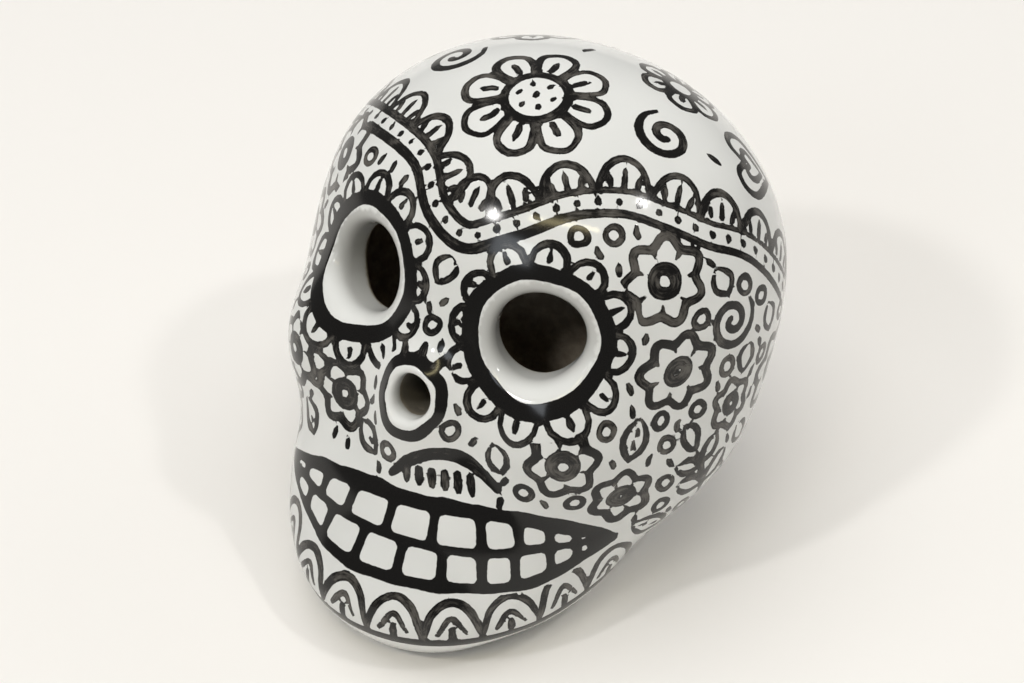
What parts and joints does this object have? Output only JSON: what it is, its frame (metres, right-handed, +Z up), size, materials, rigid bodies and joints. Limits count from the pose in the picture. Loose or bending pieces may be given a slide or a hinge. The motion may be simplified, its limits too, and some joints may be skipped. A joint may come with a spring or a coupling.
{
  "type": "sugar skull figurine",
  "caption": "Hollow glazed ceramic skull figurine with round sockets and a nose hole, brush-painted in black on white, resting on a flat underside.",
  "frame": {"origin": "middle of the plan box, on the plane of the flat underside", "axes": "+Z up, -Y the way the face looks, +X the skull's left side"},
  "size_m": [0.0792, 0.09, 0.0793],
  "materials": {
    "glazed_clay": "glossy clear glaze over white, with black brush painting; bare red-brown clay inside and underneath"
  },
  "bodies": {
    "root": {"skull_body": "glazed_clay"}
  },
  "joints": []
}
